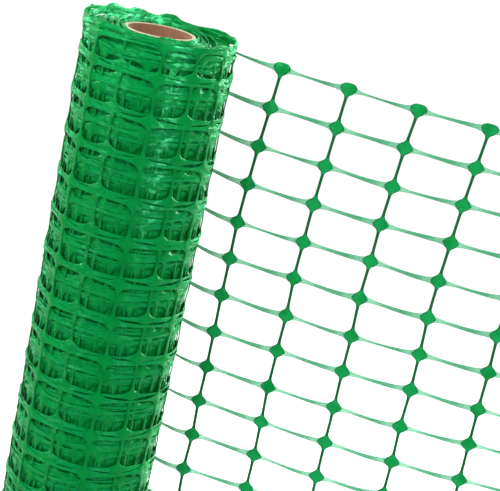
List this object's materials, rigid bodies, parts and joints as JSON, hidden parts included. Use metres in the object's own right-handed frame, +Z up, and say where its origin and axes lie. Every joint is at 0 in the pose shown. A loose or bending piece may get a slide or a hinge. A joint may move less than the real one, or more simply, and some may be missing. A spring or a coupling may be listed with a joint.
{
  "type": "safety fence net roll",
  "caption": "Plastic barrier net with rectangular openings and diamond nodes, wound on a board core and stood on end, with a free length drawn off.",
  "frame": {"origin": "middle of the part's plan outline, on the floor it stands on", "axes": "+Z up along the roll's core; +X from the roll towards the free end of the net; -Y the side the loose net curves to"},
  "size_m": [0.5418, 0.1454, 1.0364],
  "materials": {
    "net_plastic": "satin gloss",
    "core_board": "raw board"
  },
  "bodies": {
    "root": {"core_tube": "core_board", "wound_roll": "net_plastic", "free_net": "net_plastic"}
  },
  "joints": []
}
